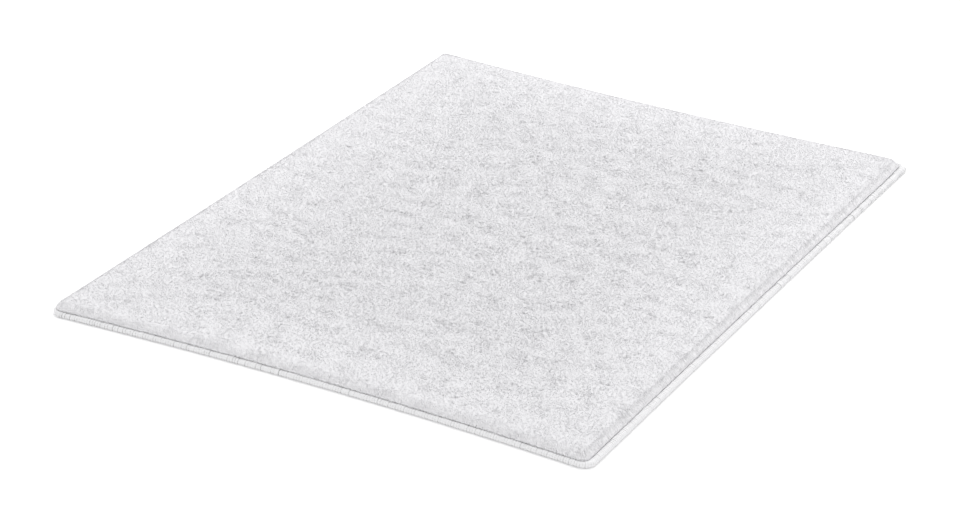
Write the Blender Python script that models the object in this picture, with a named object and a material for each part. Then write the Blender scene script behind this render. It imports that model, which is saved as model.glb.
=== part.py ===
"""Bath mat: tufted cut pile on a woven ground cloth, with a latex coating and a taped, overcast edge.

Metres, +Z up. The origin is on the floor under the middle of the mat. X runs across it, Y along it.
Every layer is a cross-section swept round the mat's outline. A cross-section's points are (inset, z):
inset is how far a point lies in from the outer edge of the hem, and z is its height over the floor.
"""
import math

import bmesh
import bpy

# Overall size, over the hem
MAT_WIDTH = 0.500
MAT_LENGTH = 0.700
CORNER_RADIUS = 0.012           # outer corner of the hem
END_BOW = 0.009                 # how far the hem's tension draws in each short end, at its middle
SIDE_BOW = 0.001                # the same for each long side

# Thickness of each layer
COATING_THICKNESS = 0.0016      # latex coating, in the middle of the mat
HEM_COATING_THICKNESS = 0.0008  # the same coating, pressed flat inside the hem
CLOTH_THICKNESS = 0.0006        # woven ground cloth
TAPE_THICKNESS = 0.0005         # hem tape
OVERCAST_THICKNESS = 0.00035    # overcast thread round the rim
SEAM_THREAD = 0.0003            # lockstitch thread
PILE_HEIGHT = 0.0105            # tufts, from the ground cloth up

# Hem
FOLD_RADIUS = 0.00035           # inside of the ground cloth's fold, at the rim
FOLD_SPREAD = 0.0030            # from the rim's centre to where the hem has its full height
OVERCAST_BITE = 0.0034          # from the outer edge to the ends of the overcast stitches
TAPE_TOP_WIDTH = 0.0095         # tape on top, from the outer edge in to under the pile
TURNED_WIDTH = 0.0110           # ground cloth turned under, from the outer edge in
TAPE_UNDER_LAP = 0.0015         # tape underneath, past the end of the turned cloth
SEAM_MARGIN = 0.0013            # from the seam to the inner edge of the tape on top
SETTLE_WIDTH = 0.0110           # over which the body comes down from the hem to the floor

# Pile
ROOT_GAP = 0.0007               # from the tape's edge to the outermost tufts
OVERHANG = 0.0037               # how far the outermost tufts lean out over the tape
BULGE_HEIGHT = 0.0022           # the pile's widest line, over its lower edge
SHOULDER = 0.0075               # how far in from that line the top is flat
PILE_CORNER_RADIUS = 0.014      # the pile's corner, at its widest line

INNER_CORNER_RADIUS = 0.006     # smallest corner radius of an inner edge
CLEARANCE = 0.0003              # between layers that touch

# Faceting of the outline and of round cross-sections
CORNER_STEPS = 5
END_STEPS = 10
SIDE_STEPS = 4
RIM_STEPS = 6
THREAD_SIDES = 6

# The rim, from the inside of the fold outwards
cloth_rim = FOLD_RADIUS + CLOTH_THICKNESS
tape_rim_inside = cloth_rim + CLEARANCE
tape_rim = tape_rim_inside + TAPE_THICKNESS
overcast_rim_inside = tape_rim + CLEARANCE
rim_radius = overcast_rim_inside + OVERCAST_THICKNESS
full_inset = rim_radius + FOLD_SPREAD

# The hem, from the floor up
tape_under_z = rim_radius - tape_rim
turned_z = tape_under_z + TAPE_THICKNESS + CLEARANCE
hem_coating_z = turned_z + CLOTH_THICKNESS + CLEARANCE
hem_cloth_z = hem_coating_z + HEM_COATING_THICKNESS + CLEARANCE
tape_top_z = hem_cloth_z + CLOTH_THICKNESS + CLEARANCE
hem_top_z = tape_top_z + TAPE_THICKNESS

# The middle of the mat, from the floor up
cloth_z = COATING_THICKNESS + CLEARANCE
pile_z = cloth_z + CLOTH_THICKNESS + CLEARANCE
pile_top_z = pile_z + PILE_HEIGHT

# Insets
tape_under_width = TURNED_WIDTH + TAPE_UNDER_LAP
settle_inset = tape_under_width + CLEARANCE
floor_inset = settle_inset + SETTLE_WIDTH
root_inset = TAPE_TOP_WIDTH + ROOT_GAP
bulge_inset = root_inset - OVERHANG
seam_inset = TAPE_TOP_WIDTH - SEAM_MARGIN
seam_radius = SEAM_THREAD / 2


def remove_old_objects():
    for obj in list(bpy.data.objects):
        bpy.data.objects.remove(obj, do_unlink=True)


def finish(name, color, roughness):
    """A matt finish for one sub-part."""
    material = bpy.data.materials.new(name)
    material.use_nodes = True
    shader = material.node_tree.nodes["Principled BSDF"]
    shader.inputs["Base Color"].default_value = (*color, 1.0)
    shader.inputs["Roughness"].default_value = roughness
    shader.inputs["Metallic"].default_value = 0.0
    return material


def draw_in(x, y):
    """Bow a point of the straight-sided mat inwards, as the hem's tension does."""
    across = x / (MAT_WIDTH / 2)
    along = y / (MAT_LENGTH / 2)
    return x - SIDE_BOW * across * (1 - along * along), y - END_BOW * along * (1 - across * across)


def outline(inset, corner_radius):
    """The points of the mat's outline at an inset, anticlockwise from the middle of the right side."""
    half_x = MAT_WIDTH / 2 - inset
    half_y = MAT_LENGTH / 2 - inset
    points = []
    for quarter in range(4):
        turn = quarter * math.pi / 2
        side_x = (1, -1, -1, 1)[quarter]
        side_y = (1, 1, -1, -1)[quarter]
        centre_x = side_x * (half_x - corner_radius)
        centre_y = side_y * (half_y - corner_radius)
        for step in range(CORNER_STEPS + 1):
            angle = turn + step / CORNER_STEPS * math.pi / 2
            points.append((centre_x + corner_radius * math.cos(angle),
                           centre_y + corner_radius * math.sin(angle)))
        steps = END_STEPS if quarter % 2 == 0 else SIDE_STEPS
        start = points[-1]
        end = (-start[0], start[1]) if quarter % 2 == 0 else (start[0], -start[1])
        for step in range(1, steps):
            share = step / steps
            points.append((start[0] + (end[0] - start[0]) * share, start[1] + (end[1] - start[1]) * share))
    return [draw_in(x, y) for x, y in points]


def hem_corner(inset):
    """Corner radius of the hem and of the layers under it, at an inset."""
    return max(CORNER_RADIUS - inset, INNER_CORNER_RADIUS)


def pile_corner(inset):
    """Corner radius of the pile at an inset, which is concentric with its widest line."""
    return max(PILE_CORNER_RADIUS + bulge_inset - inset, INNER_CORNER_RADIUS)


def sweep(name, section, material, corner=hem_corner, ring=False):
    """Sweep a cross-section round the mat. A ring closes on itself; a slab is capped at both ends."""
    mesh = bpy.data.meshes.new(name)
    shape = bmesh.new()
    loops = []
    for inset, z in section:
        loops.append([shape.verts.new((x, y, z)) for x, y in outline(inset, corner(inset))])
    pairs = list(zip(loops, loops[1:]))
    if ring:
        pairs.append((loops[-1], loops[0]))
    else:
        shape.faces.new(loops[0])
        shape.faces.new(loops[-1])
    for lower, upper in pairs:
        count = len(lower)
        for i in range(count):
            j = (i + 1) % count
            shape.faces.new((lower[i], lower[j], upper[j], upper[i]))
    bmesh.ops.recalc_face_normals(shape, faces=shape.faces)
    shape.to_mesh(mesh)
    shape.free()
    mesh.materials.append(material)
    mesh.shade_smooth()
    mesh.set_sharp_from_angle(angle=math.radians(40))
    obj = bpy.data.objects.new(name, mesh)
    bpy.context.scene.collection.objects.link(obj)
    return obj


def rim_arc(radius):
    """Half a turn round the rim's centre, from below, round the outside, to above."""
    turns = [-math.pi / 2 - step / RIM_STEPS * math.pi for step in range(RIM_STEPS + 1)]
    return [(rim_radius + radius * math.cos(turn), rim_radius + radius * math.sin(turn)) for turn in turns]


def quarter_arc(inset, z, inwards, height, steps):
    """A quarter of an ellipse from its outermost point (inset, z), in and up or down by the sizes given."""
    turns = [step / steps * math.pi / 2 for step in range(steps + 1)]
    return [(inset + inwards * (1 - math.cos(turn)), z + height * math.sin(turn)) for turn in turns]


def latex_coating():
    """Holds the tufts from behind and grips the floor. Its margin is folded into the hem."""
    section = [(floor_inset, 0.0),
               (settle_inset, hem_coating_z),
               (full_inset + CLEARANCE, hem_coating_z),
               (full_inset + CLEARANCE, hem_coating_z + HEM_COATING_THICKNESS),
               (settle_inset, hem_coating_z + HEM_COATING_THICKNESS),
               (floor_inset, COATING_THICKNESS)]
    return sweep("latex_coating", section, finish("latex", (0.72, 0.71, 0.67), 0.65))


def ground_cloth():
    """The cloth that the tufts are needled through. Its bare margin is turned under at the rim."""
    section = [(floor_inset, cloth_z),
               (settle_inset, hem_cloth_z),
               (full_inset, hem_cloth_z)]
    section += reversed(rim_arc(FOLD_RADIUS))
    section += [(TURNED_WIDTH, turned_z + CLOTH_THICKNESS),
                (TURNED_WIDTH, turned_z)]
    section += rim_arc(cloth_rim)
    section += [(full_inset, hem_cloth_z + CLOTH_THICKNESS),
                (settle_inset, hem_cloth_z + CLOTH_THICKNESS),
                (floor_inset, cloth_z + CLOTH_THICKNESS)]
    return sweep("ground_cloth", section, finish("ground_cloth", (0.80, 0.80, 0.79), 0.85))


def cut_pile():
    """The tufts, as one plain body that leans out over the hem and is rounded at its top edge."""
    lower_z = hem_top_z + SEAM_THREAD + 2 * CLEARANCE
    bulge_z = lower_z + BULGE_HEIGHT
    section = [(floor_inset, pile_z),
               (settle_inset, tape_top_z),
               (root_inset, tape_top_z)]
    section += reversed(quarter_arc(bulge_inset, bulge_z, OVERHANG - CLEARANCE, -BULGE_HEIGHT, 3))
    section += quarter_arc(bulge_inset, bulge_z, SHOULDER, pile_top_z - bulge_z, 6)[1:]
    return sweep("cut_pile", section, finish("pile", (0.83, 0.83, 0.84), 0.95), corner=pile_corner)


def hem_tape():
    """Woven tape folded round the edge, from under the pile to past the end of the turned cloth."""
    section = [(tape_under_width, tape_under_z + TAPE_THICKNESS),
               (tape_under_width, tape_under_z)]
    section += rim_arc(tape_rim)
    section += [(full_inset, hem_top_z),
                (TAPE_TOP_WIDTH, hem_top_z),
                (TAPE_TOP_WIDTH, tape_top_z),
                (full_inset, tape_top_z)]
    section += reversed(rim_arc(tape_rim_inside))
    return sweep("hem_tape", section, finish("hem_tape", (0.87, 0.87, 0.88), 0.75), ring=True)


def overcast_thread():
    """Close overcast stitches round the rim, as one thin sleeve."""
    rise = (hem_top_z - rim_radius - tape_rim) / FOLD_SPREAD * (OVERCAST_BITE - rim_radius)
    section = [(OVERCAST_BITE, OVERCAST_THICKNESS),
               (OVERCAST_BITE, 0.0)]
    section += rim_arc(rim_radius)
    section += [(OVERCAST_BITE, 2 * rim_radius + rise),
                (OVERCAST_BITE, rim_radius + overcast_rim_inside + rise)]
    section += reversed(rim_arc(overcast_rim_inside))
    return sweep("overcast_thread", section, finish("overcast", (0.88, 0.88, 0.89), 0.7), ring=True)


def seam_thread(name, z):
    """One thread of the lockstitch seam that holds the hem, as a plain ring at height z."""
    turns = [side / THREAD_SIDES * 2 * math.pi for side in range(THREAD_SIDES)]
    section = [(seam_inset + seam_radius * math.cos(turn), z + seam_radius * math.sin(turn))
               for turn in turns]
    return sweep(name, section, finish(name, (0.88, 0.88, 0.89), 0.6), ring=True)


remove_old_objects()
latex_coating()
ground_cloth()
cut_pile()
hem_tape()
overcast_thread()
seam_thread("seam_needle_thread", hem_top_z + CLEARANCE + seam_radius)
seam_thread("seam_bobbin_thread", tape_under_z - CLEARANCE - seam_radius)
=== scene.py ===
"""A tufted bath mat, put together in the order it is made, and laid on a pale floor."""
import math

import bpy
import numpy as np
from mathutils import Matrix, Vector


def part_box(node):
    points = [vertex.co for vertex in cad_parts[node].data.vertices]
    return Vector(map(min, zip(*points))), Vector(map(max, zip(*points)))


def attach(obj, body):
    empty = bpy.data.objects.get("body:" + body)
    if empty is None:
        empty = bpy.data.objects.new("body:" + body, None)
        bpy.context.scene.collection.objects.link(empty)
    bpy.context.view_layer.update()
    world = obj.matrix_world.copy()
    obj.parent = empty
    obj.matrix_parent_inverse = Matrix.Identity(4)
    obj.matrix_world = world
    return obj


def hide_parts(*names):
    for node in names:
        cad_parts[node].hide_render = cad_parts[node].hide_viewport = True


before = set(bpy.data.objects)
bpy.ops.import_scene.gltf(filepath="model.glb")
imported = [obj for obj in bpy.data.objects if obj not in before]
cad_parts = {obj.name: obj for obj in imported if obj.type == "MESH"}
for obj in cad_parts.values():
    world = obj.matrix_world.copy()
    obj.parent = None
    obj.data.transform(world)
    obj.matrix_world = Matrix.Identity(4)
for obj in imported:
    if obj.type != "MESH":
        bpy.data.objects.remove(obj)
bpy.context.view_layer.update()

# ---- Ground cloth --------------------------------------------------------------------------------
# A plain-woven cotton cloth carries the tufts. Its bare margin is turned under at the rim, inside
# the hem. It is cut to the mat's size plus the turning, and everything else is built on its outline.

MAT_WIDTH = 0.500
MAT_LENGTH = 0.700
END_BOW = 0.009             # how far the short ends are drawn in at their middle
SIDE_BOW = 0.001            # and the long sides
CORNER_RADIUS = 0.012       # of the hem's outer edge
INNER_CORNER_RADIUS = 0.006     # the least that any line inside it has
CLEARANCE = 0.0003          # between one layer and the next
CLOTH_THICKNESS = 0.0006
TAPE_THICKNESS = 0.0005
FOLD_RADIUS = 0.00035       # inside the cloth's fold
TURNED_WIDTH = 0.0110       # from the mat's edge to the end of the turned margin
HEM_SLOPE = 0.0030          # from the rim's centre to where the hem's top is level
SETTLE_INSET = 0.0128       # inside the hem the layers sink from here
FLOOR_INSET = 0.0238        # and lie flat from here


class Finish:
    """A material, and the one way to add a node to it."""

    def __init__(self, name):
        self.material = bpy.data.materials.new(name)
        self.material.use_nodes = True
        self.tree = self.material.node_tree
        self.shader = self.tree.nodes["Principled BSDF"]

    def node(self, kind, settings=None, sockets=None, output=0):
        node = self.tree.nodes.new(kind)
        for name, value in (settings or {}).items():
            setattr(node, name, value)
        for name, value in (sockets or {}).items():
            self.put(node.inputs[name], value)
        return Wire(self, node.outputs[output])

    def put(self, socket, value):
        if isinstance(value, Wire):
            self.tree.links.new(value.socket, socket)
        else:
            socket.default_value = value

    def surface(self, **sockets):
        for name, value in sockets.items():
            self.put(self.shader.inputs[name.replace("_", " ")], value)
        return self.material


class Wire:
    """A shader socket. Arithmetic on it adds Math nodes."""

    def __init__(self, finish, socket):
        self.finish = finish
        self.socket = socket

    def math(self, operation, *values):
        return self.finish.node("ShaderNodeMath", {"operation": operation}, dict(enumerate(values)))

    def __add__(self, other):
        return self.math("ADD", self, other)

    def __mul__(self, other):
        return self.math("MULTIPLY", self, other)

    def sine(self):
        return self.math("SINE", self)

    def between(self, low, high):
        """Goes from 0 at low to 1 at high."""
        return self.finish.node("ShaderNodeMapRange", {"interpolation_type": "SMOOTHSTEP"},
                                {"Value": self, "From Min": low, "From Max": high})

    def blend(self, colour_at_0, colour_at_1):
        """A colour that goes from one to the other as this value goes from 0 to 1."""
        return self.finish.node("ShaderNodeMix", {"data_type": "RGBA"},
                                {0: self, 6: colour_at_0, 7: colour_at_1}, output=2)


def parts_of(vector):
    """The X, Y and Z of a vector, as three values."""
    split = vector.finish.node("ShaderNodeSeparateXYZ", None, {0: vector})
    node = split.socket.node
    return [Wire(vector.finish, node.outputs[i]) for i in range(3)]


class Plan:
    """Sample points all the way round the mat's outline, evenly spaced along the hem's outer edge."""

    def __init__(self, step, radius=CORNER_RADIUS):
        half = np.array([MAT_WIDTH / 2 - radius, MAT_LENGTH / 2 - radius])
        first, last, angles, shares = [], [], [], []
        signs = [(1, 1), (-1, 1), (-1, -1), (1, -1)]
        for quarter in range(4):
            here, there = signs[quarter], signs[(quarter + 1) % 4]
            start = quarter * math.pi / 2
            bends = max(6, round(radius * math.pi / 2 / step))
            for k in range(bends):
                first.append(here)
                last.append(here)
                angles.append(start + (k + 0.5) / bends * math.pi / 2)
                shares.append(0.0)
            run = 2 * half[0] if quarter % 2 == 0 else 2 * half[1]
            straights = round(run / step)
            for k in range(straights):
                first.append(here)
                last.append(there)
                angles.append(start + math.pi / 2)
                shares.append((k + 0.5) / straights)
        self.first = np.array(first, float)
        self.last = np.array(last, float)
        self.angle = np.array(angles)
        self.share = np.array(shares)[:, None]
        outer = self.ring(0.0, radius)
        legs = np.linalg.norm(np.roll(outer, -1, 0) - outer, axis=1)
        self.length = legs.sum()
        self.along = np.concatenate([[0], np.cumsum(legs)[:-1]])
        inner = self.ring(0.002, radius - 0.002)
        self.out = (outer - inner) / np.linalg.norm(outer - inner, axis=1)[:, None]
        self.count = len(outer)

    def ring(self, inset, radius):
        """The outline at an inset, with its own corner radius."""
        half = np.array([MAT_WIDTH / 2, MAT_LENGTH / 2]) - inset - radius
        arm = radius * np.stack([np.cos(self.angle), np.sin(self.angle)], 1)
        straight = self.first * half * (1 - self.share) + self.last * half * self.share
        return draw_in(straight + arm)


def draw_in(points):
    """Bow points of a straight-sided mat inwards, as the hem's tension does."""
    across = points[..., 0] / (MAT_WIDTH / 2)
    along = points[..., 1] / (MAT_LENGTH / 2)
    return np.stack([points[..., 0] - SIDE_BOW * across * (1 - along ** 2),
                     points[..., 1] - END_BOW * along * (1 - across ** 2)], -1)


def hem_corner(inset):
    return max(CORNER_RADIUS - inset, INNER_CORNER_RADIUS)


def swept(plan, section, corner=hem_corner):
    """Points (ring, sample, xyz) of a cross-section of (inset, z) points swept round the mat."""
    rings = []
    for inset, z in section:
        flat = plan.ring(inset, corner(inset))
        rings.append(np.column_stack([flat, np.full(len(flat), z)]))
    return np.array(rings)


def band_faces(rings, samples, closed):
    """Quads between neighbouring rings of points, and from the last ring to the first if closed."""
    ring = np.arange(rings if closed else rings - 1)[:, None]
    after = (ring + 1) % rings
    here = np.arange(samples)[None, :]
    there = (here + 1) % samples
    corners = [ring * samples + here, ring * samples + there,
               after * samples + there, after * samples + here]
    return np.stack(np.broadcast_arrays(*corners), -1).reshape(-1, 4)


def new_piece(name, points, faces, material, caps=()):
    """A smooth object from arrays: faces all have one number of corners, and caps are single faces."""
    points = np.asarray(points, np.float32).reshape(-1, 3)
    loops = np.concatenate([np.asarray(part, np.int32).ravel() for part in (faces, *caps)])
    sizes = [np.full(len(faces), faces.shape[1]), [len(cap) for cap in caps]]
    sizes = np.concatenate(sizes).astype(np.int32)
    mesh = bpy.data.meshes.new(name)
    mesh.vertices.add(len(points))
    mesh.vertices.foreach_set("co", points.ravel())
    mesh.loops.add(len(loops))
    mesh.loops.foreach_set("vertex_index", loops)
    mesh.polygons.add(len(sizes))
    starts = np.concatenate([[0], np.cumsum(sizes)[:-1]])
    mesh.polygons.foreach_set("loop_start", starts.astype(np.int32))
    mesh.polygons.foreach_set("use_smooth", np.full(len(sizes), True))
    mesh.update(calc_edges=True)
    mesh.materials.append(material)
    obj = bpy.data.objects.new(name, mesh)
    bpy.context.scene.collection.objects.link(obj)
    return obj


def map_points(obj, name, uv):
    """A UV map from one (u, v) for each point of the mesh."""
    layer = obj.data.uv_layers.new(name=name, do_init=False)
    corner = np.empty(len(obj.data.loops), np.int32)
    obj.data.loops.foreach_get("vertex_index", corner)
    layer.uv.foreach_set("vector", np.asarray(uv, np.float32)[corner].ravel())


def half_turn(radius, centre, steps):
    """Points from below the rim's centre, round its outside, to above it."""
    turns = np.linspace(-math.pi / 2, -3 * math.pi / 2, steps + 1)
    return [(centre + radius * math.cos(turn), centre + radius * math.sin(turn)) for turn in turns]


def run_of(start, end, steps):
    """Points from start towards end, without the end."""
    shares = np.arange(steps) / steps
    return [(start[0] + (end[0] - start[0]) * s, start[1] + (end[1] - start[1]) * s) for s in shares]


rim_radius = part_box("hem_tape")[0][2] + FOLD_RADIUS + CLOTH_THICKNESS + CLEARANCE + TAPE_THICKNESS
tape_under_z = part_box("hem_tape")[0][2]
hem_top_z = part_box("hem_tape")[1][2]
cloth_top_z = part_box("ground_cloth")[1][2]
pile_base_z, pile_top_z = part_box("cut_pile")[0][2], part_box("cut_pile")[1][2]
cloth_middle_z = pile_base_z - CLEARANCE
turned_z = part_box("ground_cloth")[0][2]
full_inset = rim_radius + HEM_SLOPE

cloth_section = [(FLOOR_INSET, cloth_middle_z - CLOTH_THICKNESS),
                 (SETTLE_INSET, cloth_top_z - CLOTH_THICKNESS),
                 (full_inset, cloth_top_z - CLOTH_THICKNESS)]
cloth_section += reversed(half_turn(FOLD_RADIUS, rim_radius, 8))
cloth_section += [(TURNED_WIDTH, turned_z + CLOTH_THICKNESS), (TURNED_WIDTH, turned_z)]
cloth_section += half_turn(FOLD_RADIUS + CLOTH_THICKNESS, rim_radius, 8)
cloth_section += [(full_inset, cloth_top_z), (SETTLE_INSET, cloth_top_z), (FLOOR_INSET, cloth_middle_z)]

THREADS_PER_METRE = 1400
weave = Finish("ground cloth")
across, along, _ = parts_of(weave.node("ShaderNodeTexCoord", output=3))
warp = (across * (THREADS_PER_METRE * math.pi)).sine()
weft = (along * (THREADS_PER_METRE * math.pi)).sine()
over = (warp * weft).between(-0.6, 0.6)
cloth_material = weave.surface(
    Base_Color=over.blend((0.66, 0.65, 0.62, 1), (0.80, 0.79, 0.76, 1)), Roughness=0.9,
    Normal=weave.node("ShaderNodeBump", None, {"Strength": 0.5, "Distance": 0.0002, "Height": over}))

plan = Plan(0.004)
rings = swept(plan, cloth_section)
around = np.arange(plan.count)
ground_cloth = new_piece("ground_cloth_sheet", rings, band_faces(len(rings), plan.count, False),
                         cloth_material, caps=[around[::-1], (len(rings) - 1) * plan.count + around])
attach(ground_cloth, "root")
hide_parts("ground_cloth")


# ---- Cut pile ------------------------------------------------------------------------------------
# Soft white yarn is needled through the cloth in close rows and sheared level. Each end opens into
# a small brush of fibres, and the outermost ends lean out over the hem, so the edge is a round lip.

PILE_CORNER_RADIUS = 0.0075
ROOT_INSET = 0.0102         # of the outermost tufts, where they leave the cloth
FOOT_INSET = 0.0043         # where the pile stands out furthest over the hem
FOOT_HEIGHT = 0.0003        # of that place over the hem
SHOULDER = 0.0140           # how far in from the foot the top becomes level
SQUARENESS = 0.86           # of the shoulder: 1 for an ellipse, less for a squarer corner
NAP = np.array([-0.0020, -0.0018])      # the whole pile leans this way
PRESSED_CORNER = np.array([-0.0035, -0.0025])       # and one corner of it further
PRESSED_FROM = 1.80         # where that corner begins, as x and y in shares of the half sizes, added
PRESSED_OVER = 0.16         # and how soon it leans fully
END_SPACING = 0.0026        # between neighbouring yarn ends
END_JITTER = 0.40           # of that spacing
END_DOME = 0.0005           # how far an end's middle stands over the gaps between ends
END_UNEVENNESS = 0.00020    # in the height of the ends
UNTRODDEN_WIDTH = 0.008     # along the edges, where nobody treads the pile flat, and where its colour gets painted light
TRODDEN_OVER = 0.135        # from there to where it is trodden most
RUFFLE_SIZE = 0.020         # across a ruffled patch
RUFFLE_MEAN = 0.55
RUFFLE_SWING = 0.8
PIT_SHARE = 0.06            # of the ends are sunken where the pile is ruffled
PARTING_SHARE = 0.45        # of those widen into a parting
PIT_DEPTH = 0.0015
BODY_DEPTH = 0.0011         # the body of the pile lies this far under its fibres' tips
BODY_LEAST_DEPTH = 0.0007
BODY_STEP = 0.0015          # mesh of the pile's body
FIBRES_PER_END = 4
FIBRE_RADIUS = 0.00017
SHORT_FIBRES_PER_END = 6    # the fuzz between the long fibres
SHORT_FIBRE_RADIUS = 0.00024
FIBRE_SPREAD = 0.0018       # from the middle of an end to its outer fibres' tips
FIBRE_STRAY = 0.0004        # of a fibre's tip to a side
LEAN = 0.0004               # how far the ends of a patch lean together
PATCH_SIZE = 0.015          # across a patch of ends that lean alike
RIPPLE = 0.0008             # how far a patch stands in or out at the edge of the pile
CLIMB = 0.0022              # how far the fibres on the side of the pile run up it
BODY_TONE = 0.17            # tones run from 0 for the greyest yarn to 1 for the whitest
PILE_TONE = 0.18
PAINTED_EDGE_LIGHT_TONE = 0.10            # painted light, added where the pile is untrodden, near its edges
PAINTED_WALL_LIGHT_TONE = 0.4             # and this painted light on the side of the pile, against its shade
PILE_STRIPES = 19           # the pieces that the fibres are shared among, so that none is too heavy

draw = np.random.default_rng(7)
foot_z = hem_top_z + CLEARANCE + FOOT_HEIGHT
shoulder_rise = pile_top_z - foot_z
turns = np.linspace(0, math.pi / 2, 65)
shoulder_in = SHOULDER * (1 - np.cos(turns) ** SQUARENESS)
shoulder_up = shoulder_rise * np.sin(turns) ** SQUARENESS
shoulder_legs = np.hypot(np.diff(shoulder_in), np.diff(shoulder_up))
shoulder_arcs = np.concatenate([[0], np.cumsum(shoulder_legs)])
shoulder_arc = shoulder_arcs[-1]
shoulder_arcs /= shoulder_arc
shoulder_out = np.gradient(shoulder_up, shoulder_arcs)
shoulder_level = np.gradient(shoulder_in, shoulder_arcs)
lip = ROOT_INSET - FOOT_INSET
lip_arc = math.pi / 2 * math.hypot(lip, FOOT_HEIGHT) / math.sqrt(2)
laid_corner = PILE_CORNER_RADIUS - SHOULDER + shoulder_arc + lip_arc
laid_half = np.array([MAT_WIDTH, MAT_LENGTH]) / 2 - FOOT_INSET - SHOULDER + shoulder_arc + lip_arc


def lean_at(flat, height):
    """How far the pile leans over at a height above a place (x, y)."""
    share = np.sqrt(np.clip((height - pile_base_z) / (pile_top_z - pile_base_z), 0, 1))[:, None]
    towards_corner = (flat / [MAT_WIDTH / 2, MAT_LENGTH / 2]).sum(1)
    in_corner = np.clip((towards_corner - PRESSED_FROM) / PRESSED_OVER, 0, 1)[:, None]
    return (NAP + PRESSED_CORNER * in_corner ** 2) * share


def on_pile(laid):
    """The pile's smooth surface, laid out flat as (x, y): points, outward and side directions, and
    distances in from the foot."""
    laid = np.clip(laid, -laid_half * 0.9999, laid_half * 0.9999)
    side = np.sign(laid)
    past = np.clip(np.abs(laid) - (laid_half - laid_corner), 0, laid_corner) / laid_corner
    round_x = past[:, 0] * np.sqrt(1 - past[:, 1] ** 2 / 2)
    round_y = past[:, 1] * np.sqrt(1 - past[:, 0] ** 2 / 2)
    reach = np.hypot(round_x, round_y)
    heading = np.stack([round_x, round_y], 1) / np.maximum(reach, 1e-9)[:, None]
    inwards = laid_corner * (1 - reach) - lip_arc
    arc = np.clip(inwards / shoulder_arc, 0, 1)
    run_in, rise_up = (np.interp(arc, shoulder_arcs, values) for values in (shoulder_in, shoulder_up))
    under = np.clip(-inwards / lip_arc, 0, 1) * math.pi / 2
    inset = run_in + lip * (1 - np.cos(under)) + np.maximum(inwards - shoulder_arc, 0)
    height = foot_z + rise_up - FOOT_HEIGHT * np.sin(under)
    centre = np.minimum(np.abs(laid), laid_half - laid_corner)
    flat = side * (centre + heading * (PILE_CORNER_RADIUS - inset)[:, None])
    outward, upward = (np.interp(arc, shoulder_arcs, values) for values in (shoulder_out, shoulder_level))
    outward = np.where(inwards > 0, outward, np.cos(under) / lip)
    upward = np.where(inwards > 0, upward, -np.sin(under) / FOOT_HEIGHT)
    normal = np.column_stack([side * heading * outward[:, None], upward])
    normal /= np.linalg.norm(normal, axis=1)[:, None]
    points = np.column_stack([draw_in(flat) + lean_at(flat, height), height])
    return points, normal, side * heading, inwards


def patches(laid, size, count=14):
    """Two smooth random values, about -1 to 1, that change over a distance of about size."""
    total = np.zeros((len(laid), 2))
    for _ in range(count):
        turn, phase = draw.uniform(0, 2 * math.pi, 2)
        scale = 2 * math.pi / (size * draw.uniform(1.2, 3.0))
        wave = (laid[:, 0] * math.cos(turn) + laid[:, 1] * math.sin(turn)) * scale + phase
        total += np.stack([np.sin(wave), np.cos(wave * 1.13)], 1)
    return total / math.sqrt(count)


# the yarn ends, on a jittered grid, as if the pile were laid out flat
ends_across, ends_along = (int(n) for n in np.ceil(2 * laid_half / END_SPACING))
cell_x, cell_y = np.meshgrid(np.arange(ends_across), np.arange(ends_along), indexing="ij")
cells = np.stack([cell_x, cell_y], -1) + 0.5
cells += draw.uniform(-END_JITTER, END_JITTER, cells.shape)
end_place = -laid_half + cells * (2 * laid_half / [ends_across, ends_along])
draw.uniform(0, 1, end_place.shape[:2])     # one draw for each end is left unused
end_height = draw.normal(0, END_UNEVENNESS, end_place.shape[:2])


def nearest_end(laid):
    """The distance to the nearest yarn end, and that end's index."""
    cell = ((laid + laid_half) / (2 * laid_half) * [ends_across, ends_along]).astype(int)
    best = np.full(len(laid), np.inf)
    which = np.zeros((len(laid), 2), int)
    for step_x in (-1, 0, 1):
        for step_y in (-1, 0, 1):
            i = np.clip(cell[:, 0] + step_x, 0, ends_across - 1)
            j = np.clip(cell[:, 1] + step_y, 0, ends_along - 1)
            gap = np.linalg.norm(end_place[i, j] - laid, axis=1)
            closer = gap < best
            best = np.where(closer, gap, best)
            which[closer] = np.stack([i, j], 1)[closer]
    return best, which[:, 0], which[:, 1]


def untrodden_and_edge_lit(laid):
    """From 0 in the middle of the mat to 1 near its edges, where the pile stays smooth, and where its
    colour gets painted light.
    """
    clear = (laid_half - np.abs(laid)).min(1)
    return 1 - np.clip((clear - UNTRODDEN_WIDTH) / TRODDEN_OVER, 0, 1) ** 0.75


every_end = end_place.reshape(-1, 2)
ruffled = np.clip(RUFFLE_MEAN + RUFFLE_SWING * patches(every_end, RUFFLE_SIZE)[:, 0], 0.08, 1.4)
ruffled *= 1 - 0.85 * untrodden_and_edge_lit(every_end)
ruffled = ruffled.reshape(end_height.shape)
end_height *= 0.4 + ruffled
pit = draw.uniform(0, 1, end_height.shape) < PIT_SHARE * ruffled ** 1.5
pit |= np.roll(pit & (draw.uniform(0, 1, end_height.shape) < PARTING_SHARE), 1, axis=0)
end_height[pit] -= PIT_DEPTH


# colour comes from the unwrapping: across it from root to tip, a painted shade that darkens the yarn
# towards its roots deep in the pile, and up it from the greyest yarn to the whitest, which also carries
# painted light on the pile's edges and sides
yarn = Finish("cut pile")
depth, tone, _ = parts_of(yarn.node("ShaderNodeUVMap", {"uv_map": "OFBake"}))
yarn_colour = yarn.node("ShaderNodeMix", {"data_type": "RGBA", "blend_type": "MULTIPLY"},
                        {0: 1.0, 6: depth.blend((0.85, 0.846, 0.858, 1), (0.96, 0.954, 0.970, 1)),
                         7: tone.blend((0.72, 0.72, 0.725, 1), (1.0, 0.999, 1.0, 1))}, output=2)
pile_material = yarn.surface(Base_Color=yarn_colour, Roughness=0.95,
                             Sheen_Weight=0.1, Sheen_Roughness=0.6)

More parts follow.
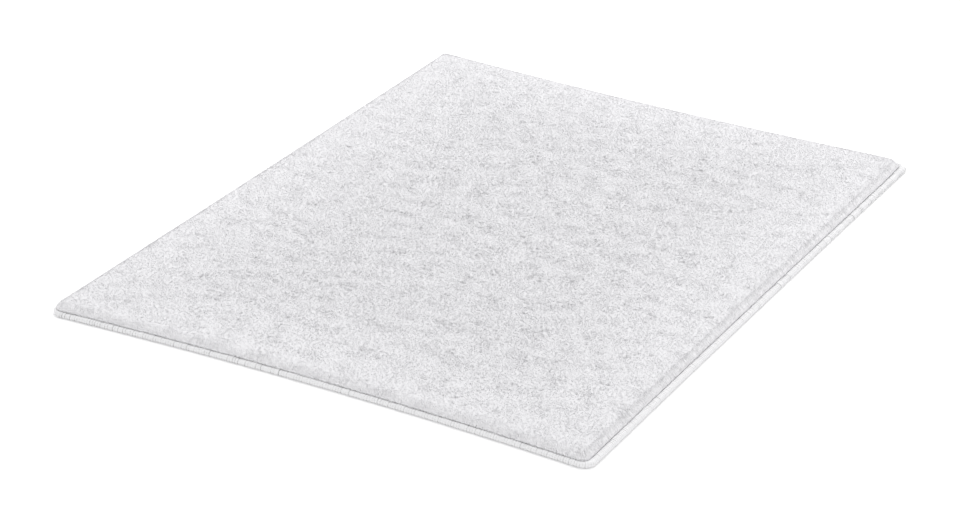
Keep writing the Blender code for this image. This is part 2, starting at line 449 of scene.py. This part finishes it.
# the body that the fibres stand on, in two halves, so that neither is too heavy
steps = np.ceil(2 * laid_half / BODY_STEP).astype(int) // 2 * 2
grid_x, grid_y = np.meshgrid(*(np.linspace(-1, 1, count + 1) for count in steps), indexing="ij")
laid = (np.stack([grid_x, grid_y], -1) * laid_half).reshape(-1, 2)
points, normals, _, _ = on_pile(laid)
gap, end_i, end_j = nearest_end(laid)
dome = 1 - np.clip(gap / (0.62 * END_SPACING), 0, 1) ** 2
steep = 1 - np.clip(normals[:, 2], 0, 1)
calm_and_edge_lit = untrodden_and_edge_lit(laid) * (1 - steep)
lift = END_DOME * (dome - 0.5) * (1 - 0.8 * calm_and_edge_lit) - BODY_DEPTH * (1 - 0.17 * calm_and_edge_lit)
lift = lift * (1 - 0.65 * steep) + end_height[end_i, end_j]
lift += patches(laid, PATCH_SIZE)[:, 0] * RIPPLE * (0.15 + steep)
lift = np.minimum(lift, -BODY_LEAST_DEPTH)
points += normals * lift[:, None]
points[:, 2] = np.maximum(points[:, 2], hem_top_z + CLEARANCE)
# painted shade: the body is darker in the gaps between yarn ends and darkest in the sunken ends, and
# painted light lightens it near the pile's edges and on its sides
body_shade = np.where(pit[end_i, end_j], 0.0, 0.55 + 0.25 * dome + 0.2 * calm_and_edge_lit)
body_uv = np.stack([body_shade, BODY_TONE + PAINTED_EDGE_LIGHT_TONE * calm_and_edge_lit + PAINTED_WALL_LIGHT_TONE * steep], 1)
index = np.arange(len(points)).reshape(steps[0] + 1, steps[1] + 1)
pile_pieces = []
for half, block in enumerate((index[:, :steps[1] // 2 + 1], index[:, steps[1] // 2:])):
    local = np.arange(block.size).reshape(block.shape)
    border = np.concatenate([local[:, 0], local[-1, 1:], local[-2::-1, -1], local[0, -2:0:-1]])
    top, top_uv = points[block.ravel()], body_uv[block.ravel()]
    foot = top[border]
    foot[:, 2] = pile_base_z + 0.0010
    here = np.arange(len(border))
    there = (here + 1) % len(border)
    quads = np.stack([local[:-1, :-1], local[1:, :-1], local[1:, 1:], local[:-1, 1:]], -1).reshape(-1, 4)
    wall = np.stack([border[there], border[here], block.size + here, block.size + there], 1)
    piece = new_piece(f"pile_body_{half + 1}", np.concatenate([top, foot]),
                      np.concatenate([quads, wall]), pile_material, caps=[block.size + here[::-1]])
    piece.data.polygons.foreach_set("use_smooth", np.arange(len(piece.data.polygons)) < len(quads))
    map_points(piece, "OFBake", np.concatenate([top_uv, top_uv[border]]))
    pile_pieces.append(piece)

# the long fibres are bent spikes of three sides rooted in the body, and the fuzz between them is
# short straight ones
BENT_FACES = np.array([[0, 2, 1], [0, 1, 4], [0, 4, 3], [1, 2, 5], [1, 5, 4], [2, 0, 3], [2, 3, 5],
                       [3, 4, 6], [4, 5, 6], [5, 3, 6]])
STRAIGHT_FACES = np.array([[0, 2, 1], [0, 1, 3], [1, 2, 3], [2, 0, 3]])


def spikes(spine, radius, tones, light, shades):
    """Spikes along spine (spike, 2 or 3 points, xyz), as points, the faces of one spike, and UVs. Each
    point of the spine has its own painted shade, from dark to light, and light, the painted light near the
    pile's edges, fades the dark ones."""
    run = spine[:, -1] - spine[:, 0]
    side_a = np.cross(run, draw.uniform(-1, 1, run.shape))
    side_a /= np.linalg.norm(side_a, axis=1)[:, None]
    side_b = np.cross(run, side_a)
    side_b /= np.linalg.norm(side_b, axis=1)[:, None]
    rings, ring_shades, thirds = [], [], []
    for k in range(spine.shape[1] - 1):
        for third in range(3):
            angle = third * 2 * math.pi / 3
            arm = side_a * math.cos(angle) + side_b * math.sin(angle)
            rings.append(spine[:, k] + arm * (radius * (1 - 0.1 * k))[:, None])
            ring_shades.append(shades[k])
            thirds.append(third - 1)
    points = np.stack(rings + [spine[:, -1]], 1)
    shade = np.array(ring_shades + [shades[-1]])
    across = shade + (1 - shade) * 0.75 * light[:, None]
    up = np.clip(tones, 0, 1)[:, None] * 0.96 + 0.02
    up = up + np.array(thirds + [0]) * 0.004        # so that no face is a line in the unwrapping
    faces = BENT_FACES if spine.shape[1] == 3 else STRAIGHT_FACES
    return points, faces, np.stack([across, up], 2)


def strand_piece(name, groups):
    """One piece of several groups of spikes."""
    start, faces = 0, []
    for points, one, _ in groups:
        firsts = start + np.arange(len(points)) * points.shape[1]
        faces.append((firsts[:, None, None] + one).reshape(-1, 3))
        start += points.shape[0] * points.shape[1]
    points = np.concatenate([points.reshape(-1, 3) for points, _, _ in groups])
    piece = new_piece(name, points, np.concatenate(faces), pile_material)
    map_points(piece, "OFBake", np.concatenate([uv.reshape(-1, 2) for _, _, uv in groups]))
    pile_pieces.append(piece)


def stripe_of(laid):
    """Which of the stripes across the mat a place is in."""
    stripe = ((laid[:, 1] / laid_half[1] + 1) / 2 * PILE_STRIPES).astype(int)
    return np.clip(stripe, 0, PILE_STRIPES - 1)


def each_end(values, count):
    """An array with a row for each yarn end, repeated for each of its fibres."""
    return np.repeat(values.reshape(end_height.size, -1), count, axis=0).squeeze()


ends = each_end(end_place, FIBRES_PER_END)
heights = each_end(end_height, FIBRES_PER_END)
rough = each_end(ruffled, FIBRES_PER_END)
count = len(ends)
turn = draw.uniform(0, 2 * math.pi, count)
share = np.sqrt(draw.uniform(0.02, 1, count))
around = np.stack([np.cos(turn), np.sin(turn)], 1) * share[:, None]
_, normal, heading, inwards = on_pile(ends)
wall_share = np.clip(1 - normal[:, 2], 0, 1)
climb = -heading * (CLIMB * np.where(inwards > 0.0015, 1, -0.6) * wall_share ** 0.7)[:, None]
lean = patches(ends, PATCH_SIZE) * LEAN
lean += each_end(draw.normal(0, 0.0003, end_place.shape), FIBRES_PER_END)
curl = draw.normal(0, FIBRE_STRAY, ends.shape)
root_at, root_normal, _, _ = on_pile(ends + around * FIBRE_SPREAD * 0.5 - climb)
middle_at, middle_normal, _, _ = on_pile(ends + around * FIBRE_SPREAD * 0.7 + lean * 0.4 - curl)
tip_at, tip_normal, _, _ = on_pile(ends + around * FIBRE_SPREAD + lean + curl + climb)
length = 0.5 + draw.uniform(-0.5, 0.5, count) * rough
calm_and_edge_lit = untrodden_and_edge_lit(ends) * (1 - wall_share)
stands = 0.0007 * length - 0.0006 * share ** 2 * (1 - 0.8 * calm_and_edge_lit)
spine = np.stack([root_at + root_normal * (heights - BODY_DEPTH - 0.0007)[:, None],
                  middle_at + middle_normal * (heights - 0.0008)[:, None],
                  tip_at + tip_normal * (heights + stands)[:, None]], 1)
# painted light: the fibres' tones are lightened near the pile's edges and on its sides, and the edge light
# also fades their darker roots
tones = PILE_TONE + draw.uniform(-0.06, 0.05, count) * rough + PAINTED_EDGE_LIGHT_TONE * calm_and_edge_lit + PAINTED_WALL_LIGHT_TONE * wall_share
kept = ~each_end(pit, FIBRES_PER_END)
long_stripe = stripe_of(ends)[kept]
radius = FIBRE_RADIUS * draw.uniform(0.7, 1.3, count)
long_fibres, bent, long_uv = spikes(spine[kept], radius[kept], tones[kept], calm_and_edge_lit[kept], (0.68, 0.90, 1.0))

ends = each_end(end_place, SHORT_FIBRES_PER_END)
ends += draw.uniform(-0.62, 0.62, ends.shape) * END_SPACING
heights = each_end(end_height, SHORT_FIBRES_PER_END)
rough = each_end(ruffled, SHORT_FIBRES_PER_END)
count = len(ends)
_, normal, heading, inwards = on_pile(ends)
wall_share = np.clip(1 - normal[:, 2], 0, 1)
climb = -heading * (CLIMB * np.where(inwards > 0.0015, 0.6, -0.4) * wall_share ** 0.7)[:, None]
root_at, root_normal, _, _ = on_pile(ends - climb)
tip_at, tip_normal, _, _ = on_pile(ends + draw.normal(0, FIBRE_STRAY, ends.shape) + climb)
stands = draw.uniform(-0.0004, 0.0004, count) * rough
spine = np.stack([root_at + root_normal * (heights - BODY_DEPTH - 0.0005)[:, None],
                  tip_at + tip_normal * (heights - 0.0005 + stands)[:, None]], 1)
calm_and_edge_lit = untrodden_and_edge_lit(ends) * (1 - wall_share)
# painted light: as for the long fibres, the fuzz is lightened near the pile's edges and on its sides
tones = PILE_TONE + draw.uniform(-0.05, 0.05, count) * rough + PAINTED_EDGE_LIGHT_TONE * calm_and_edge_lit + PAINTED_WALL_LIGHT_TONE * wall_share
kept = ~each_end(pit, SHORT_FIBRES_PER_END)
short_stripe = stripe_of(ends)[kept]
radius = SHORT_FIBRE_RADIUS * draw.uniform(0.8, 1.2, count)
fuzz, straight, fuzz_uv = spikes(spine[kept], radius[kept], tones[kept], calm_and_edge_lit[kept], (0.70, 1.0))
for k in range(PILE_STRIPES):
    in_long, in_short = long_stripe == k, short_stripe == k
    strand_piece(f"pile_fibres_{k + 1}", [(long_fibres[in_long], bent, long_uv[in_long]),
                                          (fuzz[in_short], straight, fuzz_uv[in_short])])

# the lowest fibres come down the side of the pile and rest on the hem
FRINGE_SPACING = 0.00065
FRINGE_ROWS = 5
FRINGE_RISE = 0.0012        # from one row's roots to the next row's
FRINGE_REACH = 0.0006       # of its tips past the foot of the pile
SCALLOP_SIZE = 0.013        # the tips reach out further in some places than in others
HEM_INSETS = [0.0012, 0.0024, 0.0045, 0.0052]       # across the hem under the tips
HEM_HEIGHTS = [-0.0004, 0.0, 0.0003, 0.0]           # of its surface there over the level part

fringe_plan = Plan(FRINGE_SPACING, PILE_CORNER_RADIUS)
around_rim = np.column_stack([fringe_plan.along, np.zeros(fringe_plan.count)])
scallop = patches(around_rim, SCALLOP_SIZE)[:, 0]
foot_ring = fringe_plan.ring(FOOT_INSET, PILE_CORNER_RADIUS)
way = np.roll(foot_ring, -1, 0) - np.roll(foot_ring, 1, 0)
way /= np.linalg.norm(way, axis=1)[:, None]
many = fringe_plan.count
fringe = []
for row in range(FRINGE_ROWS):
    rise = 0.0008 + row * FRINGE_RISE + draw.uniform(-0.5, 0.5, many) * FRINGE_RISE
    reach = FRINGE_REACH - row * 0.0001 + scallop * 0.0003
    reach += draw.normal(0, 0.00025, many)
    beside = FOOT_INSET - reach - fringe_plan.out @ NAP * 0.45
    low = np.interp(beside, HEM_INSETS, HEM_HEIGHTS) + hem_top_z - draw.uniform(0, 0.0004, many)
    places = []
    for out_by, height in ((-np.interp(rise, shoulder_up, shoulder_in) - 0.0010, foot_z + rise),
                           (-np.interp(rise * 0.4, shoulder_up, shoulder_in) + 0.0002, foot_z + rise * 0.3),
                           (reach, low)):
        flat = foot_ring + way * draw.normal(0, 0.0004, many)[:, None] + fringe_plan.out * out_by[:, None]
        places.append(np.column_stack([flat + lean_at(flat, height), height]))
    radius = FIBRE_RADIUS * draw.uniform(1.3, 2.4, many)
    # painted light: the fringe is whiter than the rest of the pile, its lowest rows most, and whitest from
    # its middle to its tips, to lighten the shade where it meets the hem
    tones = draw.uniform(0.8, 1.0, many) - row * 0.07
    fringe.append(spikes(np.stack(places, 1), radius, tones, np.zeros(many), (0.80, 1.0, 1.0)))
strand_piece("pile_fringe", fringe)

for piece in pile_pieces:
    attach(piece, "root")
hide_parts("cut_pile")


# ---- Latex coating -------------------------------------------------------------------------------
# Foamed latex is spread on the back of the cloth. It locks every tuft and grips the floor. The rows
# of stitches behind the tufts show through it as low ribs along the mat.

RIB_SPACING = 0.0058
RIB_HEIGHT = 0.0003
RIB_STEP = 0.006
COATING_THICKNESS = 0.0016
HEM_COATING_THICKNESS = 0.0008

rubber = Finish("latex")
spot = rubber.node("ShaderNodeTexCoord", output=3)
dimples = rubber.node("ShaderNodeTexVoronoi", None, {"Vector": spot, "Scale": 900.0})
cloudy = rubber.node("ShaderNodeTexNoise", None, {"Vector": spot, "Scale": 35.0, "Detail": 4.0})
coating_material = rubber.surface(
    Base_Color=cloudy.between(0.3, 0.7).blend((0.66, 0.64, 0.58, 1), (0.76, 0.75, 0.70, 1)), Roughness=0.62,
    Normal=rubber.node("ShaderNodeBump", None, {"Strength": 0.5, "Distance": 0.0003, "Height": dimples}))

coating_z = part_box("latex_coating")[0][2]
hem_coating_top = cloth_top_z - CLOTH_THICKNESS - CLEARANCE
coating_section = [(FLOOR_INSET, coating_z + RIB_HEIGHT),
                   (SETTLE_INSET, hem_coating_top - HEM_COATING_THICKNESS),
                   (full_inset + CLEARANCE, hem_coating_top - HEM_COATING_THICKNESS),
                   (full_inset + CLEARANCE, hem_coating_top),
                   (SETTLE_INSET, hem_coating_top),
                   (FLOOR_INSET, coating_z + COATING_THICKNESS)]
rings = swept(plan, coating_section)
around = np.arange(plan.count)
coating = new_piece("latex_back", rings, band_faces(len(rings), plan.count, False), coating_material,
                    caps=[around[::-1], (len(rings) - 1) * plan.count + around])

# the ribbed face, let into the back of the slab, square-cornered and so a little smaller
half = np.array([MAT_WIDTH, MAT_LENGTH]) / 2 - FLOOR_INSET - 0.3 * INNER_CORNER_RADIUS
columns = int(2 * half[0] / RIB_SPACING) * 2 + 1
rows = int(2 * half[1] / RIB_STEP) + 1
rib_x, rib_y = np.meshgrid(np.linspace(-half[0], half[0], columns),
                           np.linspace(-half[1], half[1], rows), indexing="ij")
ridge = np.where(np.arange(columns)[:, None] % 2 == 1, RIB_HEIGHT, 0) * np.ones(rows)
lower = np.column_stack([draw_in(np.stack([rib_x, rib_y], -1).reshape(-1, 2)),
                         (coating_z + RIB_HEIGHT - ridge).ravel()])
block = np.arange(columns * rows).reshape(columns, rows)
quads = np.stack([block[:-1, :-1], block[:-1, 1:], block[1:, 1:], block[1:, :-1]], -1).reshape(-1, 4)
upper = lower.copy()
upper[:, 2] = coating_z + RIB_HEIGHT + 0.0005
border = np.concatenate([block[:, 0], block[-1, 1:], block[-2::-1, -1], block[0, -2:0:-1]])
here = np.arange(len(border))
there = (here + 1) % len(border)
wall = np.stack([border[here], border[there], len(lower) + there, len(lower) + here], 1)
ribs = new_piece("latex_ribs", np.concatenate([lower, upper[border]]), np.concatenate([quads, wall]),
                 coating_material, caps=[len(lower) + here])
for piece in (coating, ribs):
    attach(piece, "root")
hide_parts("latex_coating")


# ---- Hem tape ------------------------------------------------------------------------------------
# Close-woven cotton tape is folded round the edge over the turned cloth, eased round the corners in
# one length, and caught down all round. It is a little uneven, as sewn tape is.

TAPE_TOP_WIDTH = 0.0095
TAPE_UNDER_WIDTH = 0.0125
TAPE_WAVE = 0.00018         # how uneven it is, up and down and in and out
TAPE_WAVE_SIZE = 0.010
TWILL_PITCH = 0.0008

tape_rim = FOLD_RADIUS + CLOTH_THICKNESS + CLEARANCE + TAPE_THICKNESS
outside = run_of((TAPE_UNDER_WIDTH, tape_under_z), (rim_radius, tape_under_z), 10)
outside += half_turn(tape_rim, rim_radius, 14)[:-1]
outside += run_of((rim_radius, rim_radius + tape_rim), (full_inset, hem_top_z), 5)
outside += run_of((full_inset, hem_top_z), (TAPE_TOP_WIDTH, hem_top_z), 8) + [(TAPE_TOP_WIDTH, hem_top_z)]
inside = [(TAPE_TOP_WIDTH, hem_top_z - TAPE_THICKNESS), (full_inset, hem_top_z - TAPE_THICKNESS)]
inside += reversed(half_turn(tape_rim - TAPE_THICKNESS, rim_radius, 8))
inside += [(TAPE_UNDER_WIDTH, tape_under_z + TAPE_THICKNESS)]
tape_section = outside + inside

tape_plan = Plan(0.0016)
rings = swept(tape_plan, tape_section)
legs = np.linalg.norm(np.diff(np.array(tape_section), axis=0), axis=1)
travel = np.concatenate([[0], np.cumsum(legs)])
wave = patches(np.column_stack([tape_plan.along, np.zeros(tape_plan.count)]), TAPE_WAVE_SIZE)
top_share = np.array([1.0 if z > rim_radius else 0.0 for _, z in tape_section])
rings[:, :, 2] += top_share[:, None] * wave[None, :, 0] * TAPE_WAVE
rings[:, :, :2] += tape_plan.out[None, :, :] * wave[None, :, 1, None] * TAPE_WAVE

ribbon = Finish("hem tape")
run, width, _ = parts_of(ribbon.node("ShaderNodeUVMap", {"uv_map": "tape"}))
twill = ((run + width) * (2 * math.pi / TWILL_PITCH)).sine()
fleck = ribbon.node("ShaderNodeTexNoise", None, {"Vector": ribbon.node("ShaderNodeTexCoord", output=3),
                                                 "Scale": 260.0, "Detail": 3.0})
height = twill * 0.5 + fleck
tape_colour = height.between(-0.1, 1.1).blend((0.73, 0.728, 0.738, 1), (0.82, 0.818, 0.828, 1))
tape_material = ribbon.surface(
    Base_Color=tape_colour, Roughness=0.72, Sheen_Weight=0.1,
    Normal=ribbon.node("ShaderNodeBump", None, {"Strength": 0.35, "Distance": 0.00012, "Height": height}))
tape = new_piece("hem_tape_woven", rings, band_faces(len(rings), tape_plan.count, True), tape_material)
tape_uv = np.stack(np.broadcast_arrays(tape_plan.along[None, :], travel[:, None]), -1)
map_points(tape, "tape", tape_uv.reshape(-1, 2))
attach(tape, "root")
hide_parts("hem_tape")


# ---- Seam threads --------------------------------------------------------------------------------
# A lockstitch holds the hem through all its layers, close to the foot of the pile. The needle
# thread makes a row of short stitches on top, and the bobbin thread the same row underneath.

SEAM_INSET = 0.0082
STITCH = 0.0032
STITCH_GAP = 0.0004
STITCH_SAG = 0.0004         # how far a stitch's ends sink into the tape
SEAM_RADIUS = 0.00016
PLY_PITCH = 0.0009          # of the thread's twist

cotton = Finish("thread")
twist, girth, _ = parts_of(cotton.node("ShaderNodeUVMap", {"uv_map": "thread"}))
ply = ((twist * (1 / PLY_PITCH) + girth * 2) * (2 * math.pi)).sine()
thread_colour = ply.between(-1.0, 0.6).blend((0.73, 0.728, 0.738, 1), (0.83, 0.828, 0.838, 1))
thread_material = cotton.surface(
    Base_Color=thread_colour, Roughness=0.6, Sheen_Weight=0.1,
    Normal=cotton.node("ShaderNodeBump", None, {"Strength": 0.5, "Distance": 0.00008, "Height": ply}))


def tubes(name, paths, across, radius_across, radius_up):
    """Closed oval tubes along paths (tube, point, xyz): across gives the wide way at each point."""
    sides = 6
    tube_count, point_count = paths.shape[:2]
    heading = np.gradient(paths, axis=1)
    heading /= np.linalg.norm(heading, axis=2)[:, :, None]
    across = across - heading * (across * heading).sum(2)[:, :, None]
    across /= np.linalg.norm(across, axis=2)[:, :, None]
    up = np.cross(heading, across)
    turns = np.arange(sides) * 2 * math.pi / sides
    wide = np.broadcast_to(radius_across, (point_count,))[None, :, None, None]
    around = (across[:, :, None, :] * np.cos(turns)[:, None] * wide
              + up[:, :, None, :] * np.sin(turns)[:, None] * radius_up)
    taper = np.ones(point_count)
    taper[[0, -1]] = 0.35
    rings = paths[:, :, None, :] + around * taper[None, :, None, None]
    ring = np.arange(point_count - 1)[:, None] * sides
    side = np.arange(sides)[None, :]
    after = (side + 1) % sides
    quads = [ring + side, ring + after, ring + sides + after, ring + sides + side]
    quads = np.stack(quads, -1).reshape(-1, 4)
    per_tube = point_count * sides
    shift = np.arange(tube_count)[:, None, None] * per_tube
    faces = (quads[None] + shift).reshape(-1, 4)
    ends = [tube * per_tube + np.arange(sides)[::-1] for tube in range(tube_count)]
    ends += [tube * per_tube + (point_count - 1) * sides + np.arange(sides) for tube in range(tube_count)]
    obj = new_piece(name, rings, faces, thread_material, caps=ends)
    legs = np.linalg.norm(np.diff(paths, axis=1), axis=2)
    gone = np.concatenate([np.zeros((tube_count, 1)), np.cumsum(legs, axis=1)], 1)
    uv = np.stack(np.broadcast_arrays(gone[:, :, None], (np.arange(sides) / sides)[None, None, :]), -1)
    map_points(obj, "thread", uv.reshape(-1, 2))
    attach(obj, "root")
    return obj


def along_hem(distance, inset):
    """Points (x, y) and outward directions on the hem, at distances round it and at an inset."""
    spots = np.mod(distance, thread_plan.length)
    reach = np.append(thread_plan.along, thread_plan.length)
    found = []
    for values in (thread_plan.ring(inset, hem_corner(inset)), thread_plan.out):
        looped = np.concatenate([values, values[:1]])
        found.append(np.stack([np.interp(spots, reach, looped[:, i]) for i in (0, 1)], -1))
    return found


thread_plan = Plan(0.0010)
stitches = round(thread_plan.length / STITCH)
begin = np.arange(stitches) * thread_plan.length / stitches
shares = np.linspace(0, 1, 6)
spots = begin[:, None] + shares[None, :] * (thread_plan.length / stitches - STITCH_GAP)
flat, out = along_hem(spots, SEAM_INSET)
sag = np.abs(2 * shares - 1) ** 3 * STITCH_SAG
for name, node, level, dip in (
        ("seam_needle_stitches", "seam_needle_thread", hem_top_z + CLEARANCE, -1),
        ("seam_bobbin_stitches", "seam_bobbin_thread", tape_under_z - CLEARANCE, 1)):
    height = np.broadcast_to(level + dip * sag, spots.shape)
    paths = np.concatenate([flat, height[:, :, None]], 2)
    sideways = np.concatenate([out, np.zeros(spots.shape + (1,))], 2)
    piece = tubes(name, paths, sideways, SEAM_RADIUS * 1.2, SEAM_RADIUS)
    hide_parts(node)


# ---- Overcast thread -----------------------------------------------------------------------------
# A thick soft thread is overcast round the rim in a close slanting row. It binds the tape's edge and
# draws the rim in, and continues round the corners.

WRAP_PITCH = 0.0024
WRAP_WIDTH = 0.00138        # half of a wrap's width along the rim
WRAP_THICKNESS = 0.00018    # half of its thickness
WRAP_SLANT = 0.0009         # how far a wrap moves along the rim from below to above
WRAP_UNEVENNESS = 0.00012   # in how far the wraps stand out
OVERCAST_BITE = 0.0050      # how far in from the edge the thread goes through the hem

wraps = round(thread_plan.length / WRAP_PITCH)
wrap_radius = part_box("overcast_thread")[0][2] + rim_radius - WRAP_THICKNESS
rise = (hem_top_z - rim_radius - tape_rim) / HEM_SLOPE * (OVERCAST_BITE - rim_radius)
section = [(OVERCAST_BITE, tape_under_z - 0.0001), (OVERCAST_BITE - 0.0005, WRAP_THICKNESS)]
section += half_turn(wrap_radius, rim_radius, 9)
section += [(OVERCAST_BITE - 0.0005, rim_radius + wrap_radius + rise * 0.7),
            (OVERCAST_BITE, rim_radius + wrap_radius + rise - 0.0004)]
places = np.arange(wraps) * thread_plan.length / wraps
places += draw.normal(0, 0.00010, wraps)
swell = patches(np.column_stack([places, np.zeros(wraps)]), 0.011)[:, 0] * WRAP_UNEVENNESS
swell += draw.normal(0, 0.00005, wraps)
slant = np.linspace(-0.5, 0.5, len(section)) * WRAP_SLANT
layers, ways = [], []
for (inset, z), shift in zip(section, slant):
    flat, out = along_hem(places + shift, inset)
    bulge = swell * math.sin(math.pi * min(1, z / hem_top_z))
    layers.append(np.column_stack([flat + out * bulge[:, None], z + swell * (z > rim_radius)]))
    ways.append(np.column_stack([-out[:, 1], out[:, 0], np.zeros(wraps)]))
widths = np.interp(np.linspace(0, 1, len(section)),
                   [0, 0.25, 0.45, 1], [0.0008, 0.0010, WRAP_WIDTH, WRAP_WIDTH])
overcast = tubes("overcast_wraps", np.stack(layers, 1), np.stack(ways, 1), widths, WRAP_THICKNESS)
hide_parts("overcast_thread")


# ---- Floor, light and camera ---------------------------------------------------------------------
# The mat lies on a plain pale floor under a broad soft light from overhead, with even light all
# round it, as in a white studio.

FLOOR_SIZE = 40.0
FLOOR_GLOW = 0.15
STUDIO_LIGHT = 1.01         # the even light from all round
LAMP_SIZE = 1.6
LAMP_POWER = 17.0
LAMP_PLACE = (-0.3, 0.9, 1.8)

floor_mesh = bpy.data.meshes.new("floor")
edge = FLOOR_SIZE / 2
floor_corners = [(-edge, -edge, 0), (edge, -edge, 0), (edge, edge, 0), (-edge, edge, 0)]
floor_mesh.from_pydata(floor_corners, [], [(0, 1, 2, 3)])
floor = bpy.data.objects.new("floor", floor_mesh)
floor.location.z = -0.0002
bpy.context.scene.collection.objects.link(floor)
paint = Finish("floor")
floor_mesh.materials.append(paint.surface(Base_Color=(0.86, 0.86, 0.86, 1), Roughness=0.9,
                                          Emission_Color=(1, 1, 1, 1), Emission_Strength=FLOOR_GLOW))

world = bpy.data.worlds.new("studio")
world.use_nodes = True
world.node_tree.nodes["Background"].inputs["Color"].default_value = (1, 1, 1, 1)
world.node_tree.nodes["Background"].inputs["Strength"].default_value = STUDIO_LIGHT
bpy.context.scene.world = world

lamp_data = bpy.data.lights.new("overhead softbox", "AREA")
lamp_data.shape = "RECTANGLE"
lamp_data.size = LAMP_SIZE
lamp_data.size_y = LAMP_SIZE
lamp_data.energy = LAMP_POWER
lamp = bpy.data.objects.new("overhead softbox", lamp_data)
lamp.location = LAMP_PLACE
lamp.rotation_euler = (Vector((0, 0, 0)) - lamp.location).to_track_quat("-Z", "Y").to_euler()
bpy.context.scene.collection.objects.link(lamp)
bpy.context.scene.view_settings.view_transform = "Standard"

CAMERA_AZIMUTH = math.radians(26.15)
CAMERA_ELEVATION = math.radians(25.14)
CAMERA_ROLL = math.radians(3.05)
CAMERA_DISTANCE = 2.767
CAMERA_LENS = 119.2
look_at = Vector((0.0075, -0.066, 0.0))
back = Vector((math.sin(CAMERA_AZIMUTH) * math.cos(CAMERA_ELEVATION),
               -math.cos(CAMERA_AZIMUTH) * math.cos(CAMERA_ELEVATION), math.sin(CAMERA_ELEVATION)))
level = Vector((0, 0, 1)).cross(back).normalized()
upright = back.cross(level)
right = level * math.cos(CAMERA_ROLL) + upright * math.sin(CAMERA_ROLL)
up = upright * math.cos(CAMERA_ROLL) - level * math.sin(CAMERA_ROLL)
camera_data = bpy.data.cameras.new("camera")
camera_data.lens = CAMERA_LENS
camera_data.clip_end = 50
camera = bpy.data.objects.new("camera", camera_data)
turned = Matrix((right, up, back)).transposed().to_4x4()
camera.matrix_world = Matrix.Translation(look_at + back * CAMERA_DISTANCE) @ turned
bpy.context.scene.collection.objects.link(camera)
bpy.context.scene.camera = camera
